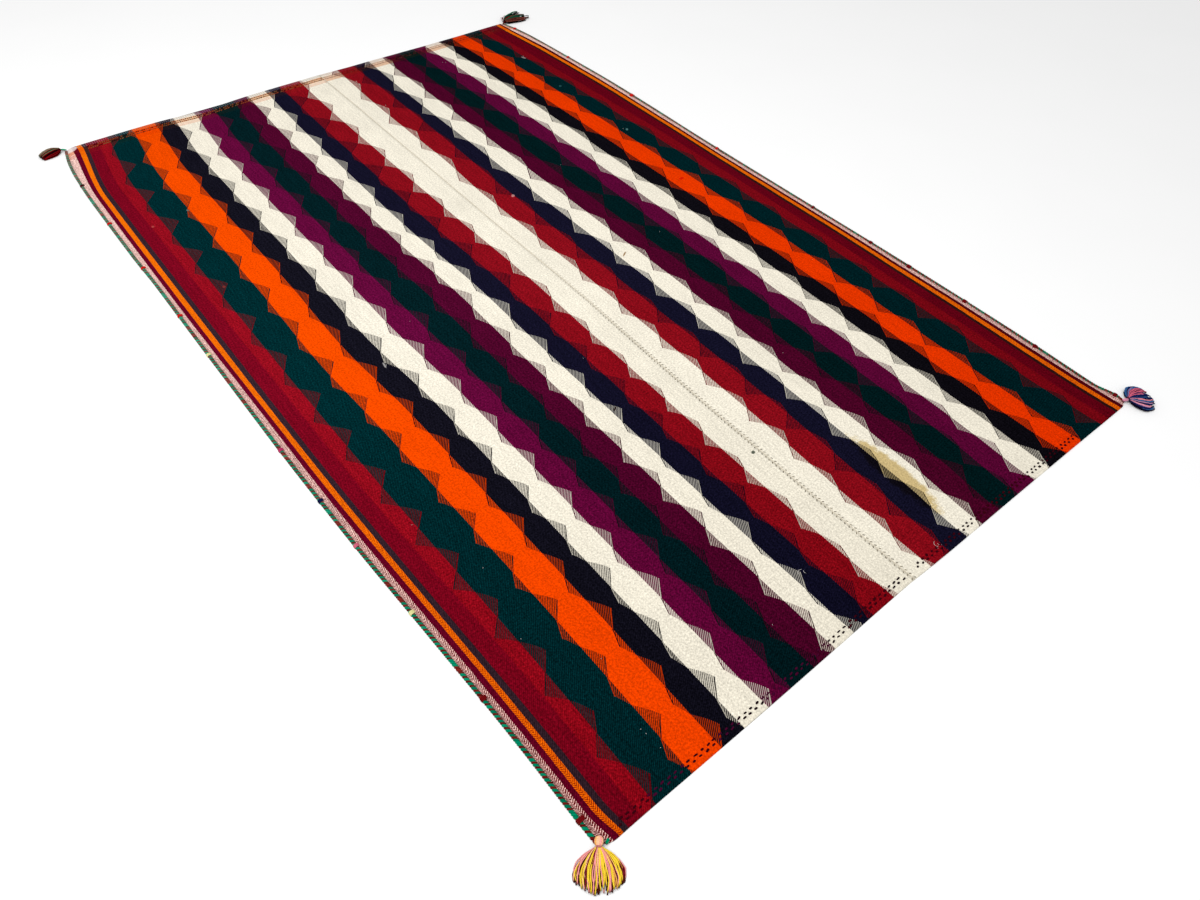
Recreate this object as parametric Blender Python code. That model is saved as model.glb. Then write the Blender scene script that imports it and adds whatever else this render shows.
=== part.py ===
"""Jajim rug: two warp-faced wool panels butted along a middle seam, with overcast bindings on both long sides
and a yarn tassel at each corner.

Sizes are worked out in millimetres on the loom: x runs across from the near left corner, y runs along from the
near end, z is up from the floor. The finished rug is moved so that the middle of its box is over the origin.
"""

import bpy
import numpy as np

MM = 0.001
PIECE_GAP = 0.3
LOOM_WIDTH = 1660
LOOM_SEAM = 840
LENGTH = 2664

# The sides bow outwards and the middle seam drifts to the right along the rug.
SIDES = np.array([
    # along, left side, seam, right side
    (0, -6, 828, 1668),
    (30, -7, 828, 1676),
    (85, -8, 828, 1666),
    (165, -8, 829, 1670),
    (250, -9, 829, 1675),
    (500, -17, 832, 1683),
    (830, -28, 841, 1688),
    (1160, -32, 853, 1689),
    (1500, -32, 856, 1691),
    (1830, -31, 861, 1698),
    (2000, -34, 864, 1700),
    (2320, -33, 868, 1692),
    (2490, -27, 870, 1685),
    (2573, -19, 871, 1676),
    (LENGTH, -2, 872, 1656),
], float)
LEFT, SEAM, RIGHT = 1, 2, 3

# Neither end is quite straight, and the corners are drawn in where the tassels are tied on.
ENDS = np.array([
    # across, near end, far end
    (0, 6, 2650),
    (6, -1, 2658),
    (16, -4, 2663),
    (60, -3, 2665),
    (280, -2, 2666),
    (415, -1, 2656),
    (620, 2, 2665),
    (820, 5, 2665),
    (860, 4, 2663),
    (1000, 2, 2658),
    (1160, 2, 2655),
    (1410, 1, 2652),
    (1644, -1, 2652),
    (1654, 1, 2650),
    (1660, 5, 2646),
], float)

PANEL_THICKNESS = 2.4
NEAR_HEM_THICKNESS = 3.6
NEAR_HEM_WIDTH = 26
END_BAND_THICKNESS = 3.2
END_BAND_WIDTH = 72
HEM_SLOPE = 8
CORNER_COLUMNS = (0, 6, 16, 60)
PANEL_COLUMN_PITCH = 85
PANEL_ROW_PITCH = 60

BINDING_WIDTH = 8
BINDING_HEIGHT = 4.6
BINDING_PROFILE = np.array([
    # share of the width from the outer side, share of the height
    (0.08, 0.0),
    (1.0, 0.0),
    (1.0, 0.70),
    (0.78, 0.93),
    (0.5, 1.0),
    (0.22, 0.90),
    (0.0, 0.55),
    (0.0, 0.20),
], float)

# Each tassel lies on the floor. Its knotted head runs back from the neck to the corner of the rug that it is
# tied to, and its skirt spreads before the neck. round_end shortens the outer strands, and notch is the share of
# the length missing between two tufts.
TASSELS = [
    # name, skirt, tie x and y, neck x and y, head's half width, heading in degrees, skirt's length, half width
    # and height, round_end, notch
    ("tassel_near_left", "fan", 7, 16, -5, 4, 8.4, 233, 67, 42, 14, 0.30, 0.0),
    ("tassel_near_right", "fan", 1659, 10, 1674, 2, 4.5, 336, 62, 43, 20, 0.15, 0.0),
    ("tassel_far_left", "leaf", 4, 2646, -13, 2662, 3.4, 190, 62, 22, 18, 0.20, 0.0),
    ("tassel_far_right", "tufts", 1653, 2637, 1665, 2645, 4.5, 14, 102, 43, 22, 0.12, 0.30),
]
SKIRTS = {
    # share of the length, share of the half width, underside share, top share
    "fan": np.array([
        (0.0, 0.14, 0.32, 0.80),
        (0.08, 0.38, 0.06, 0.92),
        (0.22, 0.63, 0.0, 1.0),
        (0.5, 0.88, 0.0, 0.96),
        (0.75, 1.0, 0.0, 0.80),
        (0.93, 1.0, 0.0, 0.62),
        (1.0, 0.97, 0.0, 0.50),
    ], float),
    "leaf": np.array([
        (0.0, 0.22, 0.32, 0.70),
        (0.12, 0.45, 0.06, 0.85),
        (0.3, 0.85, 0.0, 1.0),
        (0.5, 1.0, 0.0, 1.0),
        (0.75, 0.88, 0.0, 0.85),
        (0.93, 0.62, 0.0, 0.60),
        (1.0, 0.48, 0.0, 0.45),
    ], float),
    "tufts": np.array([
        (0.0, 0.20, 0.32, 0.75),
        (0.08, 0.52, 0.06, 0.90),
        (0.22, 0.80, 0.0, 1.0),
        (0.5, 0.94, 0.0, 0.96),
        (0.75, 1.0, 0.0, 0.80),
        (0.93, 1.0, 0.0, 0.62),
        (1.0, 0.97, 0.0, 0.50),
    ], float),
}
HEAD_UNDERSIDE = BINDING_HEIGHT + PIECE_GAP
KNOT_HEAD = np.array([
    # share of the way back from the neck to the tie, then shares of the half width: half width, lift, thickness
    (1.0, 0.25, 0.25, 0.25),
    (0.92, 0.65, 0.08, 0.75),
    (0.68, 0.95, 0.0, 1.15),
    (0.40, 1.0, 0.0, 1.20),
    (0.17, 0.8, 0.0, 1.0),
], float)
SKIRT_COLUMNS = 14
TUFT_GAP = 0.28
SIDE_THINNING = 0.86

MATERIALS = {
    # colour (linear), roughness, metallic
    "panel": ((0.40, 0.05, 0.03, 1.0), 0.95, 0.0),
    "binding": ((0.02, 0.22, 0.15, 1.0), 0.9, 0.0),
    "tassel_near_left": ((0.85, 0.45, 0.20, 1.0), 0.85, 0.0),
    "tassel_near_right": ((0.60, 0.20, 0.28, 1.0), 0.85, 0.0),
    "tassel_far_left": ((0.25, 0.01, 0.02, 1.0), 0.85, 0.0),
    "tassel_far_right": ((0.02, 0.12, 0.08, 1.0), 0.85, 0.0),
}


def clear_scene():
    for old in list(bpy.data.objects):
        bpy.data.objects.remove(old)


def make_material(name):
    colour, roughness, metallic = MATERIALS[name]
    material = bpy.data.materials.new(name)
    material.use_nodes = True
    shader = material.node_tree.nodes["Principled BSDF"]
    shader.inputs["Base Color"].default_value = colour
    shader.inputs["Roughness"].default_value = roughness
    shader.inputs["Metallic"].default_value = metallic
    return material


def smooth_column(table, column, at):
    """Read one column of a table at any distance, along a cubic that turns only at the rows.

    The slope at a row is the harmonic mean of the slopes on its two sides, or level where they differ in sign.
    """
    known = table[:, 0]
    values = table[:, column]
    rises = np.diff(values) / np.diff(known)
    before = rises[:-1]
    after = rises[1:]
    same_sign = before * after > 0
    mean = 2 * before * after / np.where(same_sign, before + after, 1.0)
    slopes = np.concatenate([rises[:1], np.where(same_sign, mean, 0.0), rises[-1:]])
    row = np.clip(np.searchsorted(known, at, side="right") - 1, 0, len(known) - 2)
    step = known[row + 1] - known[row]
    t = np.clip((at - known[row]) / step, 0.0, 1.0)
    start = values[row] * (1 + 2 * t) * (1 - t) ** 2 + slopes[row] * step * t * (1 - t) ** 2
    finish = values[row + 1] * t * t * (3 - 2 * t) + slopes[row + 1] * step * t * t * (t - 1)
    return start + finish


def place_along(across, share_along):
    """The place along the rug: the share from the near end to the far end at that distance across the loom."""
    near = smooth_column(ENDS, 1, across)
    far = smooth_column(ENDS, 2, across)
    return near + share_along * (far - near)


def row_shares():
    """Shares of the length that the mesh rows stand at: even rows, with extra ones where the hems step up."""
    near = np.array([0, NEAR_HEM_WIDTH - HEM_SLOPE, NEAR_HEM_WIDTH])
    far = LENGTH - np.array([END_BAND_WIDTH, END_BAND_WIDTH - HEM_SLOPE, 0])
    rows = round((far[0] - near[-1]) / PANEL_ROW_PITCH)
    even = np.linspace(near[-1], far[0], rows + 1)[1:-1]
    return np.concatenate([near, even, far]) / LENGTH


def thickness_along(share):
    """Plain cloth between a turned near hem and a twined far band, each with a short slope."""
    along = share * LENGTH
    near_rise = np.clip((NEAR_HEM_WIDTH - along) / HEM_SLOPE, 0, 1)
    far_rise = np.clip((along - (LENGTH - END_BAND_WIDTH)) / HEM_SLOPE, 0, 1)
    return (PANEL_THICKNESS
            + near_rise * (NEAR_HEM_THICKNESS - PANEL_THICKNESS)
            + far_rise * (END_BAND_THICKNESS - PANEL_THICKNESS))


def loft_faces(rings, points):
    """Quads between closed rings of points, with a flat cap on the first and the last ring.

    A ring runs anticlockwise as seen from before the first ring.
    """
    ring = np.arange(rings - 1)[:, None] * points
    here = np.arange(points)[None, :]
    after = (here + 1) % points
    quads = np.stack([ring + here, ring + points + here, ring + points + after, ring + after], axis=-1)
    faces = [tuple(quad) for quad in quads.reshape(-1, 4).tolist()]
    first_cap = tuple(range(points))
    last_cap = tuple(range((rings - 1) * points, rings * points))[::-1]
    return faces + [first_cap, last_cap]


def add_solid(name, material, vertices, faces):
    """Put a closed solid, given in millimetres, into the scene with its faces pointing out."""
    mesh = bpy.data.meshes.new(name)
    mesh.from_pydata((np.asarray(vertices) * MM).tolist(), [], faces)
    mesh.materials.append(material)
    mesh.validate()
    mesh.update()
    solid = bpy.data.objects.new(name, mesh)
    bpy.context.scene.collection.objects.link(solid)
    return solid


def panel_ring(across, along, thickness):
    """One ring round the cloth at a row: along the underside from left to right, then back over the top."""
    under = np.stack([across, along, np.zeros_like(across)], axis=-1)
    over = np.stack([across, along, np.full_like(across, thickness)], axis=-1)
    return np.concatenate([under, over[::-1]])


def column_places(outer, inner):
    """Where the mesh columns stand on the loom, from the outer side in: close ones that round the corner first."""
    inward = np.sign(inner - outer)
    even = np.linspace(CORNER_COLUMNS[-1], abs(inner - outer), round(abs(inner - outer) / PANEL_COLUMN_PITCH))
    return outer + inward * np.concatenate([CORNER_COLUMNS[:-1], even])


def add_panel(name, material, columns, side_columns, insets):
    """A flat panel: rows across the rug between two side curves, each as thick as the cloth is there.

    columns are the places on the loom from left to right, and insets is how far each edge of the cloth stays
    inside its side curve.
    """
    part = (columns - columns[0]) / (columns[-1] - columns[0])
    rings = []
    for share in row_shares():
        along = place_along(columns, share)
        left = smooth_column(SIDES, side_columns[0], along) + insets[0]
        right = smooth_column(SIDES, side_columns[1], along) - insets[1]
        rings.append(panel_ring(left + part * (right - left), along, thickness_along(share)))
    return add_solid(name, material, np.concatenate(rings), loft_faces(len(rings), 2 * len(columns)))


def add_binding(name, material, on_loom, side_column, inward):
    """An overcast cord along one long side: a round-topped profile, flat below, carried along the side curve."""
    profile = BINDING_PROFILE if inward > 0 else BINDING_PROFILE[::-1]
    rings = []
    for share in row_shares():
        along = place_along(np.full(len(profile), on_loom), share)
        edge = smooth_column(SIDES, side_column, along)
        across = edge + inward * BINDING_WIDTH * profile[:, 0]
        rings.append(np.stack([across, along, BINDING_HEIGHT * profile[:, 1]], axis=-1))
    return add_solid(name, material, np.concatenate(rings), loft_faces(len(rings), len(profile)))


def tassel_ring(sideways, forward, underside, top):
    """One ring round the yarns, from left to right under them and back over a top that thins at the sides."""
    span = np.linspace(-1.0, 1.0, len(sideways))
    crown = np.sqrt(1.0 - SIDE_THINNING * span ** 4)
    under = np.stack([forward, sideways, np.full_like(sideways, underside)], axis=-1)
    over = np.stack([forward, sideways, underside + (top - underside) * crown], axis=-1)
    return np.concatenate([under, over[::-1]])


def placed_ring(ring, heading, place):
    """A ring given as (forward, to the right, up), turned to a heading in radians at a place on the floor."""
    forward = np.array([np.cos(heading), np.sin(heading), 0.0])
    rightward = np.array([np.sin(heading), -np.cos(heading), 0.0])
    up = np.array([0.0, 0.0, 1.0])
    return np.array([place[0], place[1], 0.0]) + ring @ np.stack([forward, rightward, up])


def add_tassel(name, skirt, tie_x, tie_y, neck_x, neck_y, head, heading, length, half_width, height,
               round_end, notch):
    """A knotted head from the tie to the neck, and the skirt before it.

    A point of the skirt lies forward by the share of the length, shortened by round_end at the sides and by notch
    in the middle, and sideways by the share of the half width.
    """
    span = np.linspace(-1.0, 1.0, SKIRT_COLUMNS + 1)
    reach = 1.0 - round_end * span ** 2 - notch * np.exp(-(span / TUFT_GAP) ** 2)
    neck = (neck_x, neck_y)
    head_length = np.hypot(neck_x - tie_x, neck_y - tie_y)
    head_heading = np.arctan2(neck_y - tie_y, neck_x - tie_x)
    rings = []
    for back, half, lift, thick in KNOT_HEAD * (head_length, head, head, head):
        underside = HEAD_UNDERSIDE + lift
        ring = tassel_ring(half * span, np.full_like(span, -back), underside, underside + thick)
        rings.append(placed_ring(ring, head_heading, neck))
    for share, width, underside, top in SKIRTS[skirt]:
        ring = tassel_ring(half_width * width * span, length * share * reach, underside * height, top * height)
        rings.append(placed_ring(ring, np.radians(heading), neck))
    vertices = np.concatenate(rings)
    return add_solid(name, make_material(name), vertices, loft_faces(len(rings), 2 * len(span)))


def centre_on_origin(solids):
    """Shift every mesh by the same amount, so that the middle of the rug's box is over the origin."""
    corners = [vertex.co for solid in solids for vertex in solid.data.vertices]
    box = np.array([tuple(corner) for corner in corners])
    middle = (box.min(axis=0) + box.max(axis=0)) / 2
    for solid in solids:
        for vertex in solid.data.vertices:
            vertex.co.x -= middle[0]
            vertex.co.y -= middle[1]


def build():
    clear_scene()
    panel = make_material("panel")
    binding = make_material("binding")
    side_inset = BINDING_WIDTH + PIECE_GAP
    seam_inset = PIECE_GAP / 2
    left_columns = column_places(0, LOOM_SEAM)
    right_columns = column_places(LOOM_WIDTH, LOOM_SEAM)[::-1]
    solids = [
        add_panel("panel_left", panel, left_columns, (LEFT, SEAM), (side_inset, seam_inset)),
        add_panel("panel_right", panel, right_columns, (SEAM, RIGHT), (seam_inset, side_inset)),
        add_binding("binding_left", binding, 0, LEFT, 1),
        add_binding("binding_right", binding, LOOM_WIDTH, RIGHT, -1),
    ]
    for row in TASSELS:
        solids.append(add_tassel(*row))
    centre_on_origin(solids)


build()
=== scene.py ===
"""Looks of the jajim rug: striped warp-faced cloth, its stitches, the overcast sides and the corner tassels.

The cloth is laid out in loom millimetres: x runs across from the near left corner, y runs along from the near
end, and z is up from the floor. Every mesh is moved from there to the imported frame, in metres.
"""

from math import radians

import bpy
import numpy as np
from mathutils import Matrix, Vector


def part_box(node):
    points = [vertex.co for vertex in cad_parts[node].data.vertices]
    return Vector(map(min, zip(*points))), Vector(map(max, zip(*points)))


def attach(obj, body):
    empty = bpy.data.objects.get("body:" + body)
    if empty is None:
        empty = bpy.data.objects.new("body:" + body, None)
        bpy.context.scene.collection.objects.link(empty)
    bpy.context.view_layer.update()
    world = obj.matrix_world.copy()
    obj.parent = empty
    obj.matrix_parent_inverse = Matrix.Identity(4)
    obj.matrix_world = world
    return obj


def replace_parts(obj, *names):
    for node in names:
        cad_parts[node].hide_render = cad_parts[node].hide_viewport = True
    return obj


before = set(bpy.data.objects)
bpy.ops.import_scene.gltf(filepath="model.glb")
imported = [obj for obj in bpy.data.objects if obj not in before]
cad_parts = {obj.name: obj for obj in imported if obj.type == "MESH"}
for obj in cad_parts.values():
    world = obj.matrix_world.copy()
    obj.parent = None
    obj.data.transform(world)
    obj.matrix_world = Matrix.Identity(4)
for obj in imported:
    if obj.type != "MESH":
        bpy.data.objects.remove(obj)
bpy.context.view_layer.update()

MM = 0.001
PIECE_GAP = 0.3
LOOM_WIDTH = 1660
LOOM_SEAM = 840
LENGTH = 2664

# The sides bow outwards and the middle seam drifts to the right along the rug.
SIDES = np.array([
    # along, left side, seam, right side
    (0, -6, 828, 1668), (30, -7, 828, 1676), (85, -8, 828, 1666), (165, -8, 829, 1670), (250, -9, 829, 1675),
    (500, -17, 832, 1683), (830, -28, 841, 1688), (1160, -32, 853, 1689), (1500, -32, 856, 1691),
    (1830, -31, 861, 1698), (2000, -34, 864, 1700), (2320, -33, 868, 1692), (2490, -27, 870, 1685),
    (2573, -19, 871, 1676), (LENGTH, -2, 872, 1656),
], float)
LEFT, SEAM, RIGHT = 1, 2, 3

# Neither end is quite straight, and the corners are drawn in where the tassels are tied on.
ENDS = np.array([
    # across, near end, far end
    (0, 6, 2650), (6, -1, 2658), (16, -4, 2663), (60, -3, 2665), (280, -2, 2666), (415, -1, 2656),
    (620, 2, 2665), (820, 5, 2665), (860, 4, 2663), (1000, 2, 2658), (1160, 2, 2655), (1410, 1, 2652),
    (1644, -1, 2652), (1654, 1, 2650), (1660, 5, 2646),
], float)
NEAR, FAR = 1, 2

# The cloth is thicker in its turned near hem and its twined far band, which end in short slopes.
SLOPES = (18, 26, LENGTH - 72, LENGTH - 64)
THICKNESS = (3.6, 2.4, 2.4, 3.2)
BINDING_WIDTH = 8
BINDING_HEIGHT = 4.6
SIDE_INSET = BINDING_WIDTH + PIECE_GAP
SEAM_INSET = PIECE_GAP / 2

# Yarn dyes as they look in daylight: the warp, the yarn that flecks it, how strongly the flecks show, and how
# unevenly the yarn took its dye. The two panels were dyed apart, and the right one came out deeper.
DYES = {
    "pink": ("#6E101C", "#FFD8CC", 1.0, 0.25),
    "tangerine": ("#9A2408", "#FF7A06", 1.0, 0.12),
    "plum": ("#5C0420", "#7A0E2C", 0.5, 0.3),
    "charcoal": ("#2E1D24", "#46323C", 0.5, 0.3),
    "maroon": ("#700619", "#8A0C28", 0.5, 0.34),
    "crimson": ("#860918", "#A61828", 0.5, 0.36),
    "teal": ("#001A20", "#063C3E", 0.8, 0.45),
    "orange": ("#FA5200", "#DC3A00", 0.6, 0.22),
    "black": ("#0E0D17", "#22202C", 0.5, 0.5),
    "cream": ("#F8F2E2", "#E6DCC6", 0.5, 0.16),
    "purple": ("#5A0834", "#740E44", 0.5, 0.4),
    "green": ("#02181B", "#082C32", 0.6, 0.45),
    "wine": ("#470625", "#600A36", 0.5, 0.42),
    "navy": ("#0F0F20", "#201C36", 0.5, 0.45),
    "red": ("#800A16", "#9C1824", 0.5, 0.38),
    "port": ("#48040F", "#62101C", 0.5, 0.3),
    "umber": ("#28100F", "#402020", 0.5, 0.3),
    "garnet": ("#5A0312", "#740820", 0.5, 0.34),
    "cherry": ("#6E0711", "#8E1020", 0.5, 0.36),
    "spruce": ("#001418", "#052E32", 0.8, 0.45),
    "flame": ("#F03E00", "#D42C00", 0.6, 0.22),
    "jet": ("#0A080E", "#1A181E", 0.5, 0.5),
    "damson": ("#52072F", "#680C3E", 0.5, 0.4),
    "pine": ("#011517", "#06272A", 0.6, 0.45),
    "claret": ("#430521", "#5A0930", 0.5, 0.42),
}

# Each stripe ends at its inner edge, towards the seam. Some edges are plain, and along the others a serrated
# line reaches to both sides of the edge. The last stripe runs to the seam.
LEFT_STATIONS = (0, 60, 165, 994, 1340, 1657, 2320, 2635)
LEFT_STRIPES = [
    # dye, reach left at the near and the far end and reach right at both, inner edge at each station along
    ("pink", (), (21, 13, 12, -10, -12, -14, -12, 17)),
    ("plum", (), (33, 23.5, 23, 1, -1.5, -3, 0, 33)),
    ("tangerine", (), (42, 35, 34, 13, 10, 10, 12, 48)),
    ("charcoal", (), (53.5, 48, 47, 25, 23, 22.5, 25, 60)),
    ("maroon", (), (82, 82, 82, 60, 59, 58.5, 59, 94)),
    ("crimson", (33, 12, 25, 42), (114, 114, 114, 95, 92, 92, 95, 128)),
    ("teal", (15, 20, 29, 30), (197, 197, 197, 183, 172, 178, 178, 207)),
    ("orange", (14, 20, 28, 20), (269, 269, 269, 261, 246, 253, 256, 281)),
    ("black", (11, 19, 27, 23), (327, 327, 327, 325, 310, 316, 318, 341)),
    ("cream", (12, 20, 25, 22), (389, 389, 389, 391, 380, 383, 385, 410)),
    ("purple", (15, 15, 25, 29), (450, 450, 450, 453, 448, 445, 450, 472)),
    ("green", (20, 18, 18, 28), (515, 515, 515, 523, 525, 517, 523, 546)),
    ("wine", (22, 12, 20, 29), (578, 578, 578, 585, 591, 581, 586, 601)),
    ("cream", (8, 18, 27, 25), (633, 633, 633, 642, 648, 639, 650, 664)),
    ("navy", (13, 12, 26, 42), (694, 694, 694, 707, 712, 704, 711, 720)),
    ("red", (20, 27, 14, 18), (760, 760, 760, 776, 784, 780, 783, 792)),
    ("cream", (), ()),
]
RIGHT_STATIONS = (33, 100, 165, 300, 550, 994, 1300, 1657, 1950, 2320, 2635)
RIGHT_STRIPES = [
    ("pink", (), (1651, 1650, 1651, 1655, 1662, 1668, 1669, 1673, 1677, 1671, 1647)),
    ("port", (), (1639, 1638, 1639, 1644, 1652, 1659, 1661, 1665, 1669, 1660, 1640)),
    ("tangerine", (), (1625, 1624, 1625, 1630, 1638, 1647, 1649, 1653, 1656, 1647, 1626)),
    ("umber", (), (1615, 1614, 1615, 1620, 1628, 1637, 1639, 1644, 1646, 1638, 1621)),
    ("garnet", (), (1581, 1580, 1581, 1586, 1595, 1606, 1609, 1609, 1603, 1592, 1575)),
    ("cherry", (33, 34, 17, 20), (1547, 1545, 1545, 1549, 1557, 1568, 1570, 1571, 1568, 1559, 1542)),
    ("spruce", (27, 30, 18, 28), (1459, 1458, 1459, 1464, 1474, 1493, 1497, 1499, 1498, 1494, 1475)),
    ("flame", (19, 26, 25, 26), (1393, 1391, 1392, 1398, 1408, 1423, 1427, 1429, 1428, 1426, 1417)),
    ("jet", (26, 25, 18, 22), (1325, 1329, 1333, 1338, 1350, 1365, 1369, 1371, 1373, 1373, 1362)),
    ("cream", (20, 25, 18, 22), (1262, 1267, 1272, 1278, 1287, 1300, 1304, 1307, 1309, 1311, 1301)),
    ("damson", (33, 35, 10, 25), (1197, 1203, 1210, 1216, 1224, 1237, 1242, 1245, 1246, 1247, 1249)),
    ("pine", (17, 34, 28, 30), (1125, 1133, 1141, 1147, 1154, 1166, 1169, 1171, 1174, 1179, 1188)),
    ("claret", (22, 34, 20, 15), (1060, 1066, 1072, 1079, 1089, 1103, 1107, 1110, 1114, 1119, 1120)),
    ("cream", (24, 34, 16, 22), (1005, 1011, 1018, 1024, 1034, 1042, 1045, 1046, 1050, 1054, 1065)),
    ("navy", (33, 38, 12, 10), (943, 948, 953, 960, 972, 978, 980, 985, 994, 1003, 1002)),
    ("red", (18, 30, 17, 20), (880, 881, 884, 890, 903, 911, 915, 913, 925, 927, 940)),
    ("cream", (), ()),
]
SOFT_EDGE_AFTER = ("maroon", "garnet")
WOVEN_AT = 994

# The weaver counts the repeats from the near end. At each one the orange, cream, green and red stripes are at
# their narrowest, a little further along at one side of the panel than at the other.
OUTER_COUNT, INNER_COUNT = 227, 725
LEFT_WAISTS = np.array([
    # along at the orange stripe, along at the red stripe
    (111, 82), (260, 236), (414, 394), (553, 533), (689, 666), (828, 808), (982, 961), (1131, 1120),
    (1292, 1315), (1475, 1494), (1647, 1655), (1823, 1823), (1990, 2000), (2181, 2169), (2358, 2355),
    (2543, 2535),
], float)
RIGHT_WAISTS = np.array([
    (119, 142), (270, 298), (437, 454), (596, 591), (750, 757), (921, 921), (1107, 1090), (1277, 1264),
    (1476, 1465), (1685, 1667), (1917, 1914), (2114, 2127), (2288, 2311), (2485, 2524),
], float)

# The twill and the hatching, in millimetres and in shares of a float.
TWILL_PITCH = 4.3
TWILL_PER_REPEAT = 112
HATCH_SHARE = 0.66
GROUND_SHARE = 0.32
HATCH_CRISPNESS = 2.5
TOOTH_BOW = 1.25
SMALLEST_TOOTH = 0.86
TOOTH_SPREAD = 0.28
TOOTH_OUTLINE = 1.0
TICK_PITCH = 5.0
TICK_SLOPE = 1.22

DEEP_TONE_END = 1300
CLOTH_COLUMN = 9
CLOTH_ROW = 11

# The far end is whipped over with a yarn that shows in dashes.
WARP_GROUP = 7
SHORTEST_DASH = 16
DASH_SPREAD = 6

# Ticks: how far light floats cover a stripe at the near end, and how much more at the far end.
# Depth: how much deeper in tone the near half is. Whipping: its dye, and how strongly it shows.
# Tints, where the weft shows through near the far end: distance from the end, half width, strength, what the
# colours are multiplied by, and what is added.
# Marks and stains: across, along, half width, half length, lean in degrees, colour, strength.
LEFT_LOOK = dict(
    ticks={"pink": (-0.6, 1.96), "tangerine": (0.0, 1.5)}, depth=1.0, whipping=("#A89CA4", 0.45),
    tints=[(33, 13, 0.75, "#E4B490", "#0C0402"), (57, 9, 0.5, "#E0B8A8", "#0C0402")],
    marks=[
        (654, 745, 6.5, 2.2, 35, "#2A1A12", 0.8), (305, 1205, 2.2, 10, -12, "#D0CCC6", 0.7),
        (115, 1725, 4, 5, 0, "#B04038", 0.6), (65, 2100, 3.5, 5, 0, "#C06058", 0.6),
        (178, 2120, 3, 6, 20, "#8A9A94", 0.6), (829, 445, 5, 4, 30, "#3C4438", 0.8),
        (-12, 2652, 12, 12, 0, "#F4ECE6", 0.8),
    ],
    stains=[])
RIGHT_LOOK = dict(
    ticks={"pink": (0.2, 1.1), "tangerine": (0.3, 0.8)}, depth=0.45, whipping=("#8A5660", 0.35),
    tints=[(30, 9, 0.6, "#E0B8A4", "#0A0402"), (48, 12, 0.85, "#D8B4A0", "#0A0402")],
    marks=[
        (1062, 1203, 11, 2.4, 35, "#8E6C48", 0.8), (975, 1630, 4.5, 7, -35, "#E0B0A8", 0.7),
        (1560, 2370, 4, 9, 20, "#D8C4BC", 0.7), (1461, 1402, 9, 5, 10, "#D01004", 0.7),
        (1447, 1490, 6, 9, 0, "#E02404", 0.5), (1519, 1738, 4, 7, -40, "#7CA4A2", 0.6),
        (1525, 2112, 5, 7, -40, "#3C6468", 0.6),
    ],
    stains=[(1049, 207, 27, 112, 0, "#D6C290", 0.9)])

# Stitches, in millimetres and degrees. The spreads are across, along, in turn, in length and in width.
NEAR_STITCHES = [
    # from, to, distances of the two rows from the near end, length, width
    (45, 640, (12.5, 19.5), 7.6, 3.5),
    (640, 816, (14, 21.5), 9.0, 3.9),
    (858, 1465, (15, 22.5), 7.2, 4.5),
]
NEAR_STITCH_DYES = np.array([
    # from across, dye: 0 magenta plum, 1 dark maroon, 2 plum brown
    (0, 1), (112, 0), (197, 1), (270, 0), (326, 2), (389, 0), (578, 2), (633, 1), (760, 2), (880, 1),
    (1005, 2), (1060, 1), (1262, 2), (1327, 1),
])
NEAR_STITCH_PITCH = 15.5
NEAR_STITCH_LEAN = 6
NEAR_STITCH_LIFT = 0.6
NEAR_STITCH_SPREADS = (1.6, 0.7, 12, 0.2, 0.2)
FAR_ROWS = [
    # from, to, length, width, lift, first dye of three
    (62, 868, 8.6, 3.6, 0.7, 0),
    (876, 1605, 7.4, 2.6, 0.4, 3),
]
FAR_ROW_PLACES = (27, 39)
TWINE_PITCH = 6.6
TWINE_LEAN = 42
TWINE_SPREADS = (0.5, 0.6, 8, 0, 0.15)
TWINE_DYE_SHARES = (0.42, 0.28, 0.30)
SEAM_STITCH_PITCH = 11.2
SEAM_STITCH_LENGTH = 6.8
SEAM_STITCH_SIDE = 4.0
SEAM_STITCH_LEAN = 38
SEAM_STITCHES_END = 1330
SEAM_STITCHES_FADE = 400
FLUFF = [
    # across, along, length, heading in degrees, bend
    (655, 161, 17, 20, 5), (182, 100, 2.5, 60, 0), (185, 65, 2.5, 20, 0), (663, 156, 9, 85, 2),
    (936, 32, 14, 60, 4), (942, 27, 9, 120, 3), (932, 23, 8, 30, 2), (300, 1203, 6, 70, 1),
    (956, 2545, 12, 75, 2), (953, 2515, 9, 100, 2), (952, 2336, 8, 80, 1), (1557, 2370, 9, 70, 2),
    (1217, 1222, 3, 0, 0), (1205, 1682, 4, 30, 1), (180, 112, 2, 10, 0), (212, 262, 2.5, 0, 0),
    (118, 388, 2.5, 90, 0), (152, 566, 3, 40, 0), (95, 745, 2.5, 0, 0), (520, 112, 3, 80, 0),
    (1517, 1741, 6, 50, 1), (1284, 2498, 5, 80, 1), (1290, 2488, 4, 60, 1), (430, 1310, 3, 0, 0),
    (1120, 640, 2.5, 0, 0), (700, 930, 2.5, 40, 0), (1480, 860, 2.5, 0, 0),
]

BINDING_PROFILE = np.array([
    # share of the width from the outer side, share of the height
    (0.08, 0.0), (1.0, 0.0), (1.0, 0.70), (0.78, 0.93), (0.5, 1.0), (0.22, 0.90), (0.0, 0.55), (0.0, 0.20),
])
BINDINGS = {
    # place on the loom, side, which way the rug lies, length of green and of brown wraps, their dyes
    "binding_left": (0, LEFT, 1.0, 6.8, 4.8, "#008862", "#6E1612"),
    "binding_right": (LOOM_WIDTH, RIGHT, -1.0, 4.8, 6.6, "#1C7052", "#70281E"),
}
# How a binding swells: place in the wrap, and size.
WRAP_SWELL = ((0.0, 0.82), (0.14, 0.95), (0.5, 1.05), (0.86, 0.95))
DUSTY = "#B4A696"

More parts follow.
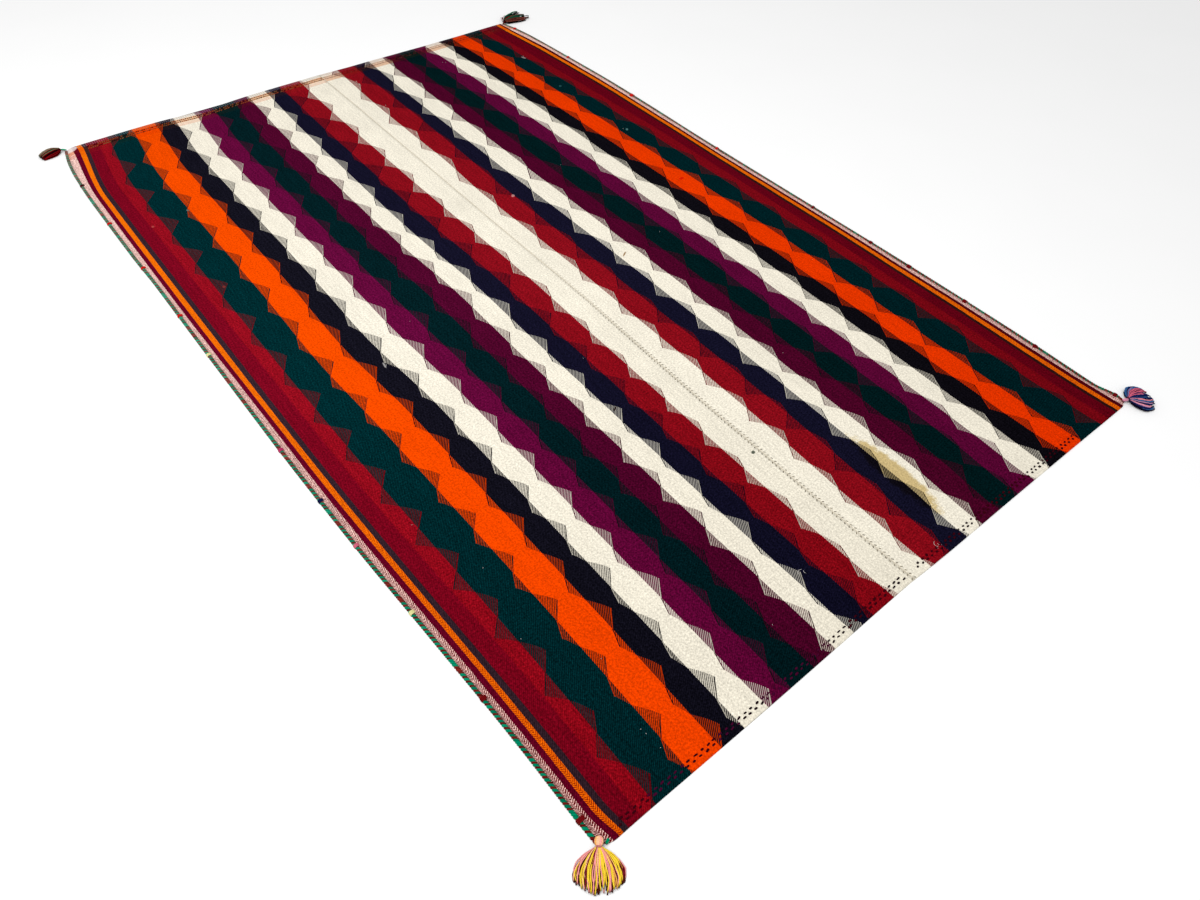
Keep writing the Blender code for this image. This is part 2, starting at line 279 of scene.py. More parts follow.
TIE_PITCH = 2.9
TIE_DYES = ("#761014", "#F0EAA8", "#E07088", "#141A44", "#C03868", "#D81E18", "#4A0812")
LEFT_TIES = [
    # along, length across, dye, wraps
    (56, 17, 0, 3), (332, 13, 0, 3), (564, 12, 1, 3), (769, 12, 2, 3), (918, 12, 3, 3), (1101, 12, 4, 3),
    (1494, 12, 1, 3), (1677, 13, 5, 3), (1926, 13, 5, 3), (2183, 13, 5, 3), (2424, 13, 6, 3),
]
RIGHT_TIES = [
    (32, 14, 0, 3), (257, 14, 0, 3), (481, 15, 0, 4), (672, 15, 0, 4), (813, 13, 0, 3), (1038, 13, 0, 3),
    (1461, 13, 5, 3), (1901, 16, 5, 5), (2266, 13, 5, 3), (2581, 13, 5, 3),
]
# How high a tie lies: share of its length from the outer side, and height.
TIE_RISE = np.array([(0.0, 0.8), (0.10, 3.8), (0.30, 5.7), (0.55, 5.0), (0.85, 3.9), (1.0, 2.2)])

# The outline of a skirt from its neck to the cut: shares of the length, of the half width and of the height.
# The underside comes down to the floor in the same steps.
STEPS = (0.0, 0.08, 0.22, 0.5, 0.75, 0.93, 1.0)
HEIGHTS = (0.80, 0.92, 1.0, 0.96, 0.80, 0.62, 0.50)
UNDERSIDE = (0.32, 0.06, 0.0, 0.0, 0.0, 0.0, 0.0)
SKIRTS = {
    "fan": (STEPS, (0.12, 0.28, 0.53, 0.85, 1.0, 1.0, 0.97), HEIGHTS),
    "ball": (STEPS, (0.16, 0.38, 0.68, 0.95, 1.0, 0.92, 0.86), HEIGHTS),
    "leaf": ((0.0, 0.12, 0.3, 0.5, 0.75, 0.93, 1.0),
             (0.30, 0.56, 0.88, 1.0, 0.95, 0.86, 0.82), (0.70, 0.85, 1.0, 1.0, 0.85, 0.60, 0.45)),
    "tufts": (STEPS, (0.16, 0.28, 0.42, 0.68, 0.88, 1.0, 1.05), (0.75, 0.90, *HEIGHTS[2:])),
}
# Height of a layer, its share of the strands, and the share of them in the shadow dye, which is painted
# shadow.
SKIRT_LAYERS = ((1.0, 1.0, 0.0), (0.55, 0.85, 0.75), (0.12, 0.7, 0.85))
HEAD_UNDERSIDE = BINDING_HEIGHT + PIECE_GAP
HEAD_FLATNESS = 0.62
NECK_TURNS = np.array([-1.65, 0.0, 1.65])
TUFT_GAP = 0.28
SIDE_THINNING = 0.86
SKIRT_PLIES = 0.10

# Each tassel hangs from a tie on the rug's corner. The letters are its dyes, and a string gives their order
# from left to right as the tassel points. The dyes in "short" are cut off half way, and "s" lies in shadow:
# it is painted shadow on the lower yarns. In the near tassels "d" is a dark dye set between lighter yarns as
# painted shade between strands, and the far left tassel's neck takes its dark "d" as painted shadow.
TASSELS = {
    "tassel_near_left": dict(
        skirt="fan", tie=(7, 16), neck=(-5, 4), half=8.4, heading=233, length=67, half_width=42, height=14,
        round_end=0.30, notch=0.0, radius=1.05, strands=60, ragged=0.36, short="",
        dyes=dict(p="#F8A09C", y="#FFDA3C", t="#F0AC58", d="#7A1828", h="#FFC098", s="#5A1E14"),
        order="pdyyhyypdtyypypdyypypyydphypydpyypydhpyypdpyhp", head="hhphhthphhph", neck_dye="p"),
    "tassel_near_right": dict(
        skirt="ball", tie=(1659, 10), neck=(1674, 2), half=4.9, heading=334, length=59, half_width=42,
        height=20, round_end=0.14, notch=0.0, radius=1.4, strands=40, ragged=0.26, short="",
        dyes=dict(b="#3E6EA6", l="#D49CC0", n="#18225A", r="#DC6884", p="#FA9CAC", d="#3A0C26", s="#16122E"),
        order="bnlnbrnrdrrndrpnlbnpdpnblnplnb", head="lplplplp", neck_dye="l"),
    "tassel_far_left": dict(
        skirt="leaf", tie=(4, 2646), neck=(-13, 2662), half=3.4, heading=190, length=62, half_width=22,
        height=18, round_end=0.05, notch=0.0, radius=1.4, strands=22, ragged=0.10, short="",
        dyes=dict(r="#8E0C14", d="#1E0508", g="#4E8A62", o="#857460", e="#22B080", s="#2A0608"),
        order="rrdrrgdrrogoooo", head="deeedddd", neck_dye="d"),
    "tassel_far_right": dict(
        skirt="tufts", tie=(1653, 2637), neck=(1665, 2645), half=4.5, heading=14, length=102, half_width=43,
        height=22, round_end=0.12, notch=0.30, radius=1.5, strands=28, ragged=0.62, short="w",
        dyes=dict(w="#F0D0D4", g="#1E6A4C", k="#0E1C18", c="#E8E0C0", r="#6A0C10", b="#84443A", s="#140808"),
        order="wgggkgrrrgkbb", head="rkrrkrrk", neck_dye="r"),
}


def smooth_column(table, column, at):
    """Read one column of a table at any distance, along a cubic that turns only at the rows.

    The slope at a row is the harmonic mean of the slopes beside it, or level where they differ in sign.
    """
    known, values = table[:, 0], table[:, column]
    rises = np.diff(values) / np.diff(known)
    before, after = rises[:-1], rises[1:]
    same_sign = before * after > 0
    mean = 2 * before * after / np.where(same_sign, before + after, 1.0)
    slopes = np.concatenate([rises[:1], np.where(same_sign, mean, 0.0), rises[-1:]])
    row = np.clip(np.searchsorted(known, at, side="right") - 1, 0, len(known) - 2)
    step = known[row + 1] - known[row]
    t = np.clip((at - known[row]) / step, 0.0, 1.0)
    start = values[row] * (1 + 2 * t) * (1 - t) ** 2 + slopes[row] * step * t * (1 - t) ** 2
    finish = values[row + 1] * t * t * (3 - 2 * t) + slopes[row + 1] * step * t * t * (t - 1)
    return start + finish


def joined(*measures):
    """Arrays of single measures, as one array of places."""
    return np.stack(np.broadcast_arrays(*measures), axis=-1)


def ends_at(across):
    """Where the cloth starts and how long it is at a distance across the loom."""
    near = smooth_column(ENDS, NEAR, across)
    return near, smooth_column(ENDS, FAR, across) - near


def unevenness(across, along):
    """How much the cloth's top swells and sinks: a few long slow waves that cross each other."""
    return (0.30 * np.sin(along / 61 + across / 143 + 0.8)
            + 0.25 * np.sin(along / 97 - across / 71 + 2.1)
            + 0.15 * np.sin(along / 23 + across / 119 + 4.0)
            + 0.12 * np.sin(across / 27 - along / 211))


def thickness(row, across, along):
    """How thick the cloth is in a row that far along the loom."""
    return np.interp(row, SLOPES, THICKNESS) + unevenness(across, along)


def cloth_top(across, along):
    """How high the cloth's top is at a place on the loom."""
    near, length = ends_at(across)
    return thickness((along - near) / length * LENGTH, across, along)


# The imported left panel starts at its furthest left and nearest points, which the tables give on the loom.
LOOM_CORNER = np.array([SIDES[:, LEFT].min() + SIDE_INSET, ENDS[:, NEAR].min(), 0.0])
FRAME_CORNER = np.array(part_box("panel_left")[0])


def to_frame(points):
    """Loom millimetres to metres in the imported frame."""
    return (np.asarray(points, float) - LOOM_CORNER) * MM + FRAME_CORNER


# Meshes

UPWARD = (0.0, 0.0, 1.0)
PLY_TURN = 8


def add_object(name, data):
    """A new object in the scene, at the origin."""
    thing = bpy.data.objects.new(name, data)
    bpy.context.scene.collection.objects.link(thing)
    return thing


def loft_faces(strands, rings, around):
    """Quads between neighbouring rings of every strand, and one flat face on each of its two ends."""
    strand = np.arange(strands)[:, None, None] * rings * around
    ring = np.arange(rings - 1)[None, :, None] * around
    here = np.arange(around)
    after = (here + 1) % around
    start = strand + ring
    quads = np.stack([start + here, start + here + around, start + after + around, start + after], axis=-1)
    first = strand[:, 0] + here
    last = first + (rings - 1) * around
    return quads.reshape(-1, 4).tolist() + first.tolist() + last[:, ::-1].tolist()


def add_loft(name, points, finish, slot, layout, **numbers):
    """Closed tubes from an array (strands, rings, points round a ring, 3) in loom millimetres.

    A ring runs anticlockwise as seen from before the first ring. layout gives each point its place on the
    piece's own map, and each of the numbers is a value at each point, for the finish to read.
    """
    strands, rings, around = points.shape[:3]
    mesh = bpy.data.meshes.new(name)
    mesh.from_pydata(to_frame(points.reshape(-1, 3)).tolist(), [], loft_faces(strands, rings, around))
    mesh.materials.append(finish)
    mesh.polygons.foreach_set("use_smooth", np.full(len(mesh.polygons), True))
    corner_vertex = np.zeros(len(mesh.loops), np.int32)
    mesh.loops.foreach_get("vertex_index", corner_vertex)
    flat = mesh.uv_layers.new(name="layout")
    flat.uv.foreach_set("vector", layout.reshape(-1, 2)[corner_vertex].astype(np.float32).ravel())
    for label, values in numbers.items():
        at_points = np.broadcast_to(values, points.shape[:3]).astype(np.float32)
        mesh.attributes.new(label, "FLOAT", "POINT").data.foreach_set("value", at_points.ravel())
    piece = add_object(name, mesh)
    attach(piece, "root")
    return piece


def add_yarns(name, lines, half_width, half_height, dye, finish, slot, around=8, plies=0.0, upward=UPWARD,
              cut_end=0.0):
    """Yarns round centre lines (yarns, points, 3): ellipses square to the line, anticlockwise from its right.

    A plied yarn is thicker by the share plies at its two plies, which change places every eight half widths.
    """
    ahead = np.gradient(lines, axis=1)
    ahead /= np.linalg.norm(ahead, axis=-1, keepdims=True)
    right = np.cross(ahead, upward)
    right /= np.linalg.norm(right, axis=-1, keepdims=True)
    over = np.cross(right, ahead)
    steps = np.linalg.norm(np.diff(lines, axis=1), axis=-1)
    gone = np.pad(np.cumsum(steps, axis=1), ((0, 0), (1, 0)))
    turn = np.arange(around) / around
    angle = 2 * np.pi * turn
    width = np.broadcast_to(half_width, gone.shape)[..., None]
    height = np.broadcast_to(half_height, gone.shape)[..., None]
    plies_turned = gone / (PLY_TURN * width.max(axis=1)) * 2 * np.pi
    bulge = 1.0 + plies * np.cos(2 * angle - plies_turned[..., None])
    sideways = (width * np.cos(angle) * bulge)[..., None]
    upwards = (height * np.sin(angle) * bulge)[..., None]
    points = lines[:, :, None] + right[:, :, None] * sideways + over[:, :, None] * upwards
    layout = joined(turn, gone[..., None] * MM)
    dye = np.asarray(dye, float)[:, None, None]
    end = np.broadcast_to(cut_end, gone.shape)[..., None]
    return add_loft(name, points, finish, slot, layout, dye=dye, cut_end=end)


# Finishes

TONE_POWER = 2.2


def linear(code):
    """A colour written as #RRGGBB, as linear light."""
    shown = np.array([int(code[i:i + 2], 16) / 255 for i in (1, 3, 5)])
    light = np.where(shown < 0.04045, shown / 12.92, ((shown + 0.055) / 1.055) ** 2.4)
    return (*light.tolist(), 1.0)


def tone(code):
    """A colour written as #RRGGBB, in the even tones in which the cloth's colours are mixed."""
    return tuple(value ** (1 / TONE_POWER) for value in linear(code))


def operator(operation, reflected=False):
    """A method of a wire that adds one Math node. A reflected one takes the wire as its second value."""
    def method(wire, *others):
        values = (*others, wire) if reflected else (wire, *others)
        return wire.finish.node("Math", {"operation": operation}, dict(enumerate(values)))
    return method


class Wire:
    """A shader value that adds Math nodes when it is used in an expression."""

    def __init__(self, finish, socket):
        self.finish = finish
        self.socket = socket

    __add__ = __radd__ = operator("ADD")
    __mul__ = __rmul__ = operator("MULTIPLY")
    __sub__ = operator("SUBTRACT")
    __rsub__ = operator("SUBTRACT", reflected=True)
    __truediv__ = operator("DIVIDE")
    __pow__ = operator("POWER")
    __gt__ = operator("GREATER_THAN")
    __lt__ = operator("LESS_THAN")
    __abs__ = operator("ABSOLUTE")
    at_least = operator("MAXIMUM")
    at_most = operator("MINIMUM")
    fraction = operator("FRACT")
    whole = operator("FLOOR")

    def clamped(self):
        return self.finish.node("Clamp", {}, {"Value": self})

    def valley(self):
        """A fold: 1 at each whole number, and 0 half way to the next."""
        return abs(2.0 * self.fraction() - 1.0)


class Finish:
    """A material in the making: its nodes are added by one method, and its shader is set at the end."""

    def __init__(self, name):
        self.material = bpy.data.materials.new(name)
        self.material.use_nodes = True
        self.tree = self.material.node_tree
        self.shader = self.tree.nodes["Principled BSDF"]

    def node(self, kind, settings=None, values=None, output=0):
        """Add one node: its settings first, then each socket's value or link. Gives back one output."""
        node = self.tree.nodes.new("ShaderNode" + kind)
        for name, value in (settings or {}).items():
            if name == "stops":
                self.set_stops(node.color_ramp, value)
            else:
                setattr(node, name, value)
        for key, value in (values or {}).items():
            self.feed(node.inputs[key], value)
        return Wire(self, node.outputs[output])

    def feed(self, socket, value):
        if isinstance(value, Wire):
            self.tree.links.new(value.socket, socket)
        else:
            socket.default_value = value

    @staticmethod
    def set_stops(ramp, stops):
        ramp.interpolation = "CONSTANT"
        while len(ramp.elements) < len(stops):
            ramp.elements.new(0.5)
        for element, (position, colour) in zip(ramp.elements, stops):
            element.position = position
            element.color = colour

    def mix(self, share, first, second, blend="MIX"):
        settings = {"data_type": "RGBA", "blend_type": blend}
        return self.node("Mix", settings, {0: share, 6: first, 7: second}, output=2)

    def shade(self, colour, strength):
        return self.mix(1.0, colour, strength, "MULTIPLY")

    def number(self, name):
        """Read one of the piece's own values."""
        return self.node("Attribute", {"attribute_name": name}, output=2)

    def layout(self):
        """The piece's own map, and its two measures."""
        place = self.node("UVMap", {"uv_map": "layout"})
        return place, *(self.node("SeparateXYZ", {}, {0: place}, output=i) for i in (0, 1))

    def cloud(self, place, scale=1.0, detail=2.0, roughness=0.5):
        """Soft noise round 0, about -0.5 to 0.5, at a place or at its two or three measures."""
        if isinstance(place, tuple):
            place = self.node("CombineXYZ", {}, dict(enumerate(place)))
        values = {"Vector": place, "Scale": scale, "Detail": detail, "Roughness": roughness}
        return self.node("TexNoise", {"noise_dimensions": "3D"}, values) - 0.5

    def chance(self, count):
        """An even random number from 0 to 1 for each whole number."""
        return self.node("TexWhiteNoise", {"noise_dimensions": "1D"}, {"W": count})

    def mark(self, place, across, along, half_width, half_length, lean):
        """How far out a place is from a leaning oval's middle, where 1 is its rim."""
        values = {"Vector": place, "Location": (across * MM, along * MM, 0.0),
                  "Rotation": (0.0, 0.0, radians(lean)), "Scale": (half_width * MM, half_length * MM, 1.0)}
        oval = self.node("Mapping", {"vector_type": "TEXTURE"}, values)
        return self.node("VectorMath", {"operation": "LENGTH"}, {0: oval}, output=1)

    def done(self, colour, roughness, height, relief):
        """Wool has no gloss, so only its colour, its roughness and its relief are set."""
        self.feed(self.shader.inputs["Base Color"], colour)
        self.feed(self.shader.inputs["Roughness"], roughness)
        self.shader.inputs["Specular IOR Level"].default_value = 0.0
        bump = self.node("Bump", {}, {"Height": height, "Distance": relief, "Strength": 1.0})
        self.feed(self.shader.inputs["Normal"], bump)
        return self.material


def serrated_line(finish, repeat, start):
    """How far a serrated line is to the right and to the left, from 0 to 1, and whether it is coming back.

    It goes left along the weft steps in a slight bow, and comes back straight along the twill. By chance a
    tooth is a little larger or smaller than the others.
    """
    turn = (repeat + start).fraction()
    falling = 1 - 2 * (2 * turn).at_most(1.0) ** TOOTH_BOW
    line = falling + 4 * (turn - 0.5).at_least(0.0)
    right_tooth = SMALLEST_TOOTH + TOOTH_SPREAD * finish.chance((repeat + start + 0.5).whole() + 17.0)
    left_tooth = SMALLEST_TOOTH + TOOTH_SPREAD * finish.chance((repeat + start).whole() + 91.0)
    return line.at_least(0.0) * right_tooth, line.at_most(0.0) * left_tooth, turn > 0.5


def slanted_ticks(across, along, middle, grain, cover):
    """Short slanted floats, from 0 to 1 across each, that meet at the middle of their stripe."""
    slant = (along - TICK_SLOPE * abs(across - middle * MM)) / (TICK_PITCH * MM) + 1.1 * grain
    return (4.0 * slant.valley() - 1.5 + cover).clamped()


def striped_cloth(name, stripes, edges, towards_seam, marks, stains, tints, whipping, ticks, depth):
    """Warp-faced cloth: stripe after stripe of dyed warp, hatched where a tooth floats over its neighbour.

    The stripe under a tooth shows a little more of its yarn in the hatch than the tooth does. Colours are
    mixed in even tones, as wool fibres blend, and are turned to light at the end.
    """
    finish = Finish(name)
    place, across, along = finish.layout()
    share_along = along * (1.0 / (LENGTH * MM))
    to_end = LENGTH * MM - along
    repeat = finish.number("repeat")
    grain = finish.cloud(place, 420.0)
    wobble = finish.cloud(place, 60.0)
    speckle = finish.cloud(place, 230.0, roughness=0.6)
    lengthways = finish.cloud((across * 170.0, along * 14.0), detail=3.0, roughness=0.6)
    unevenly_dyed = 1.0 * lengthways + 3.2 * speckle
    twill = across / (TWILL_PITCH * MM) - repeat * (TWILL_PER_REPEAT / TWILL_PITCH)
    twill_ridge = 1.0 - (twill + 0.15 * grain + 0.35 * wobble).valley()
    flecks = (twill_ridge + 1.0 * grain).clamped()
    hatch_ridge = twill_ridge + 0.4 * speckle - HATCH_SHARE
    lines = [serrated_line(finish, repeat, start) for start in (0.0, 0.5)]
    wandering = across + (0.0012 * wobble + 0.0010 * grain)
    colour = None
    hatch_shade = 0.0
    for index, (dye, *_) in enumerate(stripes):
        main, fleck, strength, uneven_dye = DYES[dye]
        floats = flecks
        if dye in ticks:
            near_cover, more_cover = ticks[dye]
            middle = (edges[index] + edges[index + 1]) / 2
            floats = slanted_ticks(across, along, middle, grain, share_along * more_cover + near_cover)
        warp = finish.mix(floats * strength, tone(main), tone(fleck))
        warp = finish.shade(warp, (1.0 + uneven_dye * unevenly_dyed).at_least(0.35))
        if colour is None:
            colour = warp
            continue
        outer_dye, reach, _ = stripes[index - 1]
        beyond = wandering - edges[index] * MM
        inside = beyond * towards_seam
        if outer_dye in SOFT_EDGE_AFTER:
            share = (inside * 240.0 + 0.5 + 0.6 * wobble).clamped()
        elif not reach:
            share = inside > 0.0
        else:
            plain = inside > 0.0
            points_right_at_waist = (index % 2 == 1) == (towards_seam > 0)
            right_part, left_part, rising = lines[0 if points_right_at_waist else 1]
            for part, (near, far) in ((right_part, reach[2:]), (left_part, reach[:2])):
                beyond = beyond - part * (share_along * ((far - near) * MM) + near * MM)
            serrated = (beyond * towards_seam) > 0.0
            in_hatch = abs(plain - serrated)
            threads = ((hatch_ridge + GROUND_SHARE * plain) * HATCH_CRISPNESS + 0.5).clamped()
            share = plain.at_most(serrated) + in_hatch * threads
            outline = (abs(beyond) < TOOTH_OUTLINE * MM) * rising
            share = share + ((1.0 - plain) - share) * outline
            # Painted shade between the floats of the hatch, and a darker line along each tooth's rising edge.
            hatch_shade = in_hatch + 2.0 * outline + hatch_shade
        colour = finish.mix(share, colour, warp)
    warp_group = across / (WARP_GROUP * MM) + 0.3 * wobble
    dash_length = SHORTEST_DASH * MM + DASH_SPREAD * MM * finish.chance(warp_group.whole())
    dash = (to_end < dash_length) * (0.1 + 0.9 * (warp_group.fraction() > 0.5))
    whipping_dye, whipping_strength = whipping
    colour = finish.mix(dash * whipping_strength, colour, tone(whipping_dye))
    for middle, half, strength, tint, glow in tints:
        zone = (abs(to_end - middle * MM + 0.003 * wobble) < half * MM) * (strength + grain)
        tinted = finish.mix(1.0, finish.shade(colour, tone(tint)), tone(glow), "ADD")
        colour = finish.mix(zone.clamped(), colour, tinted)
    for blend, places in (("MIX", marks), ("MULTIPLY", stains)):
        for *oval, dye, strength in places:
            cover = 1.25 - finish.mark(place, *oval) + 0.9 * wobble + 0.8 * grain
            colour = finish.mix((cover * 3.0).clamped() * strength, colour, tone(dye), blend)
    deep = (1.0 - along * (1.0 / (DEEP_TONE_END * MM))).clamped() * depth
    colour = finish.node("Gamma", {}, {0: colour, 1: TONE_POWER + 0.22 * deep})
    streaks = finish.cloud((across * 260.0, along * 9.0), detail=3.0)
    bands = finish.cloud((across * 45.0, along * 0.8))
    patches = finish.cloud(place, 5.0, detail=3.0)
    # Random tone in streaks, bands, patches and grain, and painted shade that leaves the twill's ridges
    # lighter than its furrows.
    tone_and_ridge_shade = 0.90 + 0.05 * streaks + 0.08 * bands + 0.18 * patches + 0.3 * grain + 0.20 * twill_ridge
    shade = 0.86 * tone_and_ridge_shade * (1.0 - 0.20 * hatch_shade) * (1.0 - 0.10 * deep)
    height = 0.5 * flecks + 0.5 * streaks + 0.4 * grain
    return finish.done(finish.shade(colour, shade), 0.92 - 0.1 * grain, height, relief=0.0007)


PLY_LENGTH = 3.4
CUT_END_DYE = "#180A0C"


def dyed_yarn(name, dyes, depth=0.62, sides=0.0):
    """Plied wool in a few dyes, one for each whole number of the yarn's dye.

    Painted shade makes it as dark as its depth between the plies, and darker down its sides, where other
    yarns shade it.
    """
    finish = Finish(name)
    _, turn, gone = finish.layout()
    stops = [(count / len(dyes), linear(dye)) for count, dye in enumerate(dyes)]
    dye = finish.number("dye")
    colour = finish.node("ValToRGB", {"stops": stops}, {0: (dye + 0.5) / len(dyes)})
    grain = finish.cloud((turn * 3.0, gone * 900.0, dye * 7.3))
    slow = finish.cloud((turn, gone * 60.0, dye * 3.1))
    plies = (2.0 * turn - gone / (PLY_LENGTH * MM)).valley()
    top = (1.0 - abs(4.0 * turn - 1.0)).at_least(0.0)
    # Painted shade: darker in the grooves between the plies and down the sides of the yarn.
    shade = (depth + 0.34 * plies + 0.30 * grain + 0.30 * slow) * (1.0 - sides * (1.0 - top))
    colour = finish.mix(finish.number("cut_end"), finish.shade(colour, shade), linear(CUT_END_DYE))
    return finish.done(colour, 0.90 - 0.1 * grain, plies + 0.6 * grain, relief=0.0006)


def wrapped_binding(name, green, brown):
    """Overcast wool: green and red-brown wraps in turn, with now and then one that is out of turn.

    It is dustier and paler towards the far end.
    """
    finish = Finish(name)
    _, turn, along = finish.layout()
    wrap = finish.number("wrap")
    count = wrap.whole()
    chance = finish.chance(count + 5.0)
    in_turn = (count * 0.5).fraction() > 0.25
    is_green = abs(in_turn - (chance > 0.90))
    wrapped = finish.mix(is_green, tone(brown), tone(green))
    dusty = finish.mix(along * (0.5 / (LENGTH * MM)), wrapped, tone(DUSTY))
    colour = finish.node("Gamma", {}, {0: dusty, 1: TONE_POWER})
    grain = finish.cloud((turn * 6.0, along * 700.0))
    threads = (wrap * 3.0 + 0.5 * grain).valley()
    shade = 0.72 + 0.22 * threads + 0.45 * grain + 0.5 * (chance - 0.5)
    # Painted shade in the grooves where one wrap meets the next.
    shade = shade * (1.0 - 0.55 * wrap.valley() ** 6.0)
    return finish.done(finish.shade(colour, shade), 0.92 - 0.1 * grain, threads + grain, relief=0.0005)


# The cloth


def repeats_at(waists, across, along):
    """The repeats counted from the near end, between the counts at the orange and at the red stripe."""
    count = np.arange(-1, len(waists) + 1)
    padded = np.concatenate([[2 * waists[0] - waists[1]], waists, [2 * waists[-1] - waists[-2]]])
    outer, inner = (np.interp(along, column, count) for column in padded.T)
    return outer + (across - OUTER_COUNT) / (INNER_COUNT - OUTER_COUNT) * (inner - outer)


# How the cloth's two ends round off: distance from the end, and share of the thickness there.
END_ROUND = np.array([0.0, 0.6, 1.8, 4.0])
END_THICKNESS = np.array([0.45, 0.80, 0.96, 1.0])


def add_panel(name, stripes, stations, waists, outer, from_side, look):
    """One loom panel: rows from the side curve to the seam curve, as thick as the cloth is there.

    A point keeps its share of its own stripe along the whole rug, so the stripes widen and drift.
    """
    towards_seam = 1.0 if outer < LOOM_SEAM else -1.0
    table = np.column_stack([stations, np.transpose([row[2] for row in stripes if row[2]])])

    def edges_at(along):
        """The panel's outer edge, the inner edge of every stripe but the last, and the panel's seam edge."""
        return np.stack([smooth_column(SIDES, from_side, along) + towards_seam * SIDE_INSET,
                         *(smooth_column(table, column, along) for column in range(1, table.shape[1])),
                         smooth_column(SIDES, SEAM, along) - towards_seam * SEAM_INSET])

    woven = edges_at(WOVEN_AT)
    width = abs(woven[-1] - woven[0])
    spans = np.maximum(2, np.round(np.abs(np.diff(woven)) / CLOTH_COLUMN)).astype(int)
    stripe_place = np.concatenate([[0.0]] + [i + np.arange(1, n + 1) / n for i, n in enumerate(spans)])
    across_woven = np.interp(stripe_place, np.arange(len(woven)), woven)
    reach = np.abs(across_woven - woven[0]) / width
    across_loom = outer + reach * (LOOM_SEAM - outer)

    middle = np.linspace(END_ROUND[-1], LENGTH - END_ROUND[-1], round(LENGTH / CLOTH_ROW))
    rows = np.concatenate([END_ROUND[:-1], middle, LENGTH - END_ROUND[-2::-1]])[:, None]
    near, length = ends_at(across_loom)
    along = near + rows / LENGTH * length
    stripe = np.minimum(stripe_place.astype(int), len(woven) - 2)
    column = np.arange(len(stripe_place))
    edges = edges_at(along)
    start = edges[stripe, :, column].T
    stop = edges[stripe + 1, :, column].T
    across = start + (stripe_place - stripe) * (stop - start)
    roundness = np.interp(np.minimum(rows, LENGTH - rows), END_ROUND, END_THICKNESS)
    thick = roundness * thickness(rows, across, along)
    from_own_side = across_woven if towards_seam > 0 else LOOM_WIDTH - across_woven
    repeat = repeats_at(waists, from_own_side, along)

    # A ring goes over the columns and back, one way under the cloth and the other way over it.
    ring = np.concatenate([column, column[::-1]])
    is_top = (np.arange(len(ring)) >= len(column)) == (towards_seam > 0)
    points = joined(across[:, ring], along[:, ring], np.where(is_top, thick[:, ring], 0.0))
    layout = joined(across_woven[ring], rows) * MM
    finish = striped_cloth(name + "_cloth", stripes, woven, towards_seam, **look)
    piece = add_loft(name + "_weave", points[None], finish, name, layout, repeat=repeat[:, ring])
    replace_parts(piece, name)
    return piece, width * MM


# Stitches, ties and wraps

CHANCE = np.random.default_rng(7)
STITCH_DIP = 0.9
STITCH_SHAPE = np.sqrt(1.0 - 0.75 * np.linspace(-1.0, 1.0, 7) ** 6)


def uneven(count, spread):
    """Numbers round 0, at most the spread away from it."""
    return CHANCE.uniform(-spread, spread, count) if spread else np.zeros(count)


def turned_by(heading, forward, aside, across, along):
    """Places ahead and to the left of a place, by a heading in degrees."""
    cos, sin = np.cos(np.radians(heading)), np.sin(np.radians(heading))
    return across + cos * forward - sin * aside, along + sin * forward + cos * aside


def stitch_lines(across, along, heading, length, lift):
    """Stitches on the cloth: straight from above, with z = top + lift (1 - s^4) - dip s^4 along each."""
    s = np.linspace(-1.0, 1.0, len(STITCH_SHAPE))
    numbers = np.broadcast_arrays(across, along, heading, length)
    across, along, heading, length = (values[:, None] for values in numbers)
    x, y = turned_by(heading, length / 2 * s, 0.0, across, along)
    z = cloth_top(x, y) + lift * (1 - s ** 4) - STITCH_DIP * s ** 4
    return joined(x, y, z)


def stitch_row(places, end, distance, heading, length, width, lift, spreads):
    """A row of uneven stitches at a distance from an end: their places, lines and half widths."""
    count = len(places)
    aside, ahead, turned, longer, wider = (uneven(count, spread) for spread in spreads)
    across = places + aside
    along = smooth_column(ENDS, end, across) + distance + ahead
    lines = stitch_lines(across, along, heading + turned, length * (1 + longer), lift)
    return across, lines, width / 2 * (1 + wider)


def add_stitches(name, rows, finish, half_height=None):
    """Stitches from rows of (lines, half widths, dyes), narrow at both ends.

    They are half as high as wide where no half height is given.
    """
    lines, widths, dyes = (np.concatenate(parts) for parts in zip(*rows))
    width = widths[:, None] * STITCH_SHAPE
    height = 0.5 * width if half_height is None else half_height
    return add_yarns(name, lines, width, height, dyes, finish, "panel_left", around=6)


def near_end_stitches():
    """Two staggered rows of running stitches along the near hem, in the plum yarns that suit the stripes."""
    rows = []
    for low, high, distances, length, width in NEAR_STITCHES:
        for start, distance in zip((low, low + NEAR_STITCH_PITCH / 2), distances):
            places = np.arange(start, high, NEAR_STITCH_PITCH)
            across, *row = stitch_row(places, NEAR, distance, NEAR_STITCH_LEAN, length, width,
                                      NEAR_STITCH_LIFT, NEAR_STITCH_SPREADS)
            stripe = np.searchsorted(NEAR_STITCH_DYES[:, 0], across, side="right") - 1
            rows.append((*row, NEAR_STITCH_DYES[stripe, 1]))
    yarn = dyed_yarn("plum_stitch_yarn", ("#4A0A30", "#3C0612", "#1E0A14"))
    return add_stitches("near_end_stitches", rows, yarn, half_height=0.7)


def far_end_rows():
    """Two rows of twined yarn across the far end: short slanted turns of orange, tan and dark yarn."""
    rows = []
    for low, high, length, width, lift, first_dye in FAR_ROWS:
        for distance in FAR_ROW_PLACES:
            places = np.arange(low, high, TWINE_PITCH)
            _, *row = stitch_row(places, FAR, -distance, TWINE_LEAN, length, width, lift, TWINE_SPREADS)
            rows.append((*row, first_dye + CHANCE.choice(3, len(places), p=TWINE_DYE_SHARES)))
    yarn = dyed_yarn("twining_yarn", ("#A44A24", "#8A5C38", "#2A0E0C", "#5E1A1A", "#6A3E32", "#1A080A"))
    return add_stitches("far_end_twining", rows, yarn, half_height=0.55)


